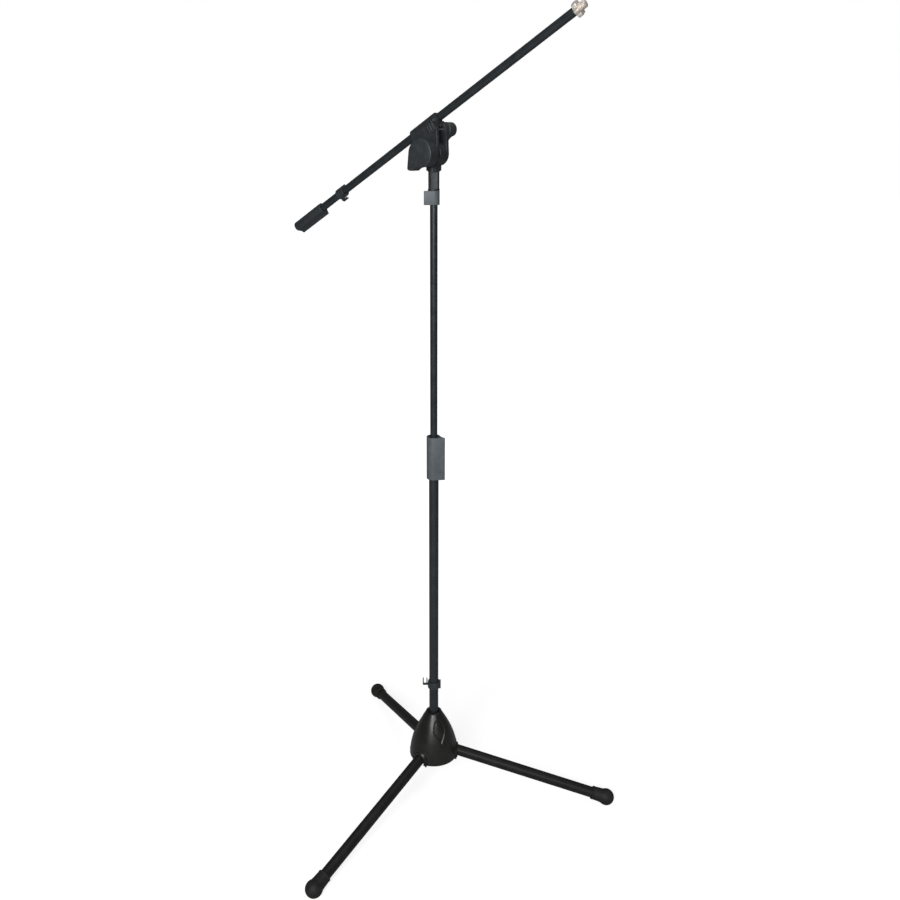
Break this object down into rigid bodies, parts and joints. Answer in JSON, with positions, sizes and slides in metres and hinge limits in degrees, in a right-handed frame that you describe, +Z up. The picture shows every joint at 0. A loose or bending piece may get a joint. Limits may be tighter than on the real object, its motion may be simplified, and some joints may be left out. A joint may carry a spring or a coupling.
{
  "type": "microphone_stand",
  "caption": "Folding tripod microphone stand with a telescopic column, clutch grip, tilting split boom clamp, sliding counterweighted boom and threaded boom tip",
  "frame": {"origin": "centre of the column on the floor", "axes": "+Z up along the column, +X horizontal below the raised boom tip, +Y away from the tilt knob side"},
  "size_m": [0.8506, 0.729, 1.9271],
  "materials": {
    "powder_black": "satin",
    "gloss_black": "gloss",
    "slate_plastic": "satin",
    "foot_rubber": "matt",
    "nickel": "polished",
    "zinc_steel": "satin",
    "brass": "satin",
    "bush_plastic": "matt",
    "cast_zinc": "satin",
    "weight_iron": "matt"
  },
  "bodies": {
    "base": {"base_shell": "gloss_black", "base_hub": "cast_zinc", "guide_bush": "bush_plastic", "leg_pins": "zinc_steel", "shell_screws": "zinc_steel"},
    "leg_front": {"leg_tube_front": "powder_black", "leg_knuckle_front": "cast_zinc", "leg_rivet_front": "zinc_steel", "leg_foot_front": "foot_rubber"},
    "leg_right": {"leg_tube_right": "powder_black", "leg_knuckle_right": "cast_zinc", "leg_rivet_right": "zinc_steel", "leg_foot_right": "foot_rubber"},
    "leg_rear": {"leg_tube_rear": "powder_black", "leg_knuckle_rear": "cast_zinc", "leg_rivet_rear": "zinc_steel", "leg_foot_rear": "foot_rubber"},
    "column": {"lower_tube": "powder_black", "fold_collar": "cast_zinc", "column_end_plug": "cast_zinc", "column_cable_clip": "slate_plastic", "clutch_core": "cast_zinc", "clutch_collet": "bush_plastic"},
    "clutch_grip": {"clutch_grip": "slate_plastic", "clutch_cam": "zinc_steel", "clutch_cap": "cast_zinc"},
    "mast": {"upper_tube": "powder_black", "mast_bush": "bush_plastic", "mast_stud": "nickel"},
    "lock_nut": {"lock_nut": "slate_plastic", "lock_nut_insert": "brass"},
    "head_post": {"swivel_post": "cast_zinc", "post_insert": "brass", "friction_disc_front": "bush_plastic", "friction_disc_back": "bush_plastic"},
    "head_clamp": {"clamp_half_front": "cast_zinc", "clamp_half_back": "cast_zinc", "tilt_bolt": "zinc_steel", "tilt_washer": "zinc_steel", "clamp_screw": "zinc_steel", "clamp_washer": "zinc_steel"},
    "tilt_knob": {"tilt_knob": "slate_plastic", "tilt_knob_insert": "brass"},
    "clamp_knob": {"clamp_knob": "slate_plastic", "clamp_knob_insert": "brass"},
    "boom_liner": {"boom_liner": "slate_plastic"},
    "boom": {"boom_tube": "powder_black", "boom_cable_clip": "slate_plastic", "boom_grip": "slate_plastic", "boom_weight": "weight_iron", "boom_end_stud": "nickel"},
    "star_nut": {"star_nut": "nickel"}
  },
  "joints": [
    {"name": "leg_front_fold", "type": "hinge", "parent": "base", "child": "leg_front", "pos_m": [0, -0.038, 0.134], "axis": [1, 0, 0], "range_deg": [0, 74]},
    {"name": "leg_right_fold", "type": "hinge", "parent": "base", "child": "leg_right", "pos_m": [0.03291, 0.019, 0.134], "axis": [-0.5, 0.866, 0], "range_deg": [0, 74]},
    {"name": "leg_rear_fold", "type": "hinge", "parent": "base", "child": "leg_rear", "pos_m": [-0.03291, 0.019, 0.134], "axis": [-0.5, -0.866, 0], "range_deg": [0, 74]},
    {"name": "column_slide", "type": "slide", "parent": "base", "child": "column", "axis": [0, 0, 1], "range_m": [0, 0.0255]},
    {"name": "clutch_turn", "type": "hinge", "parent": "column", "child": "clutch_grip", "pos_m": [0, 0, 0.948], "axis": [0, 0, 1], "range_deg": [0, 90]},
    {"name": "height_slide", "type": "slide", "parent": "column", "child": "mast", "axis": [0, 0, 1], "range_m": [-0.53, 0.06]},
    {"name": "lock_nut_turn", "type": "hinge", "parent": "mast", "child": "lock_nut", "pos_m": [0, 0, 1.554], "axis": [0, 0, 1], "range_deg": [0, 180]},
    {"name": "head_swivel", "type": "hinge", "parent": "mast", "child": "head_post", "pos_m": [0, 0, 1.58], "axis": [0, 0, 1], "range_deg": [-180, 180]},
    {"name": "boom_tilt", "type": "hinge", "parent": "head_post", "child": "head_clamp", "pos_m": [0, 0, 1.648], "axis": [0, -1, 0], "range_deg": [-75, 55]},
    {"name": "tilt_knob_turn", "type": "hinge", "parent": "head_clamp", "child": "tilt_knob", "pos_m": [0, -0.03, 1.648], "axis": [0, -1, 0], "range_deg": [0, 180]},
    {"name": "clamp_knob_turn", "type": "hinge", "parent": "head_clamp", "child": "clamp_knob", "pos_m": [0.01268, 0.03, 1.69804], "axis": [0, 1, 0], "range_deg": [0, 180]},
    {"name": "boom_roll", "type": "hinge", "parent": "head_clamp", "child": "boom_liner", "pos_m": [-0.029, 0, 1.69823], "axis": [0.866, 0, 0.5], "range_deg": [-180, 180]},
    {"name": "boom_slide", "type": "slide", "parent": "boom_liner", "child": "boom", "axis": [0.866, 0, 0.5], "range_m": [-0.35, 0.21]},
    {"name": "star_nut_turn", "type": "hinge", "parent": "boom", "child": "star_nut", "pos_m": [0.3382, 0, 1.91023], "axis": [0.866, 0, 0.5], "range_deg": [0, 180]}
  ],
  "couplings": [
    {"joint": "leg_right_fold", "follows": "leg_front_fold", "ratio": 1},
    {"joint": "leg_rear_fold", "follows": "leg_front_fold", "ratio": 1},
    {"joint": "column_slide", "follows": "leg_front_fold", "m_per_rad": 0.019546}
  ]
}
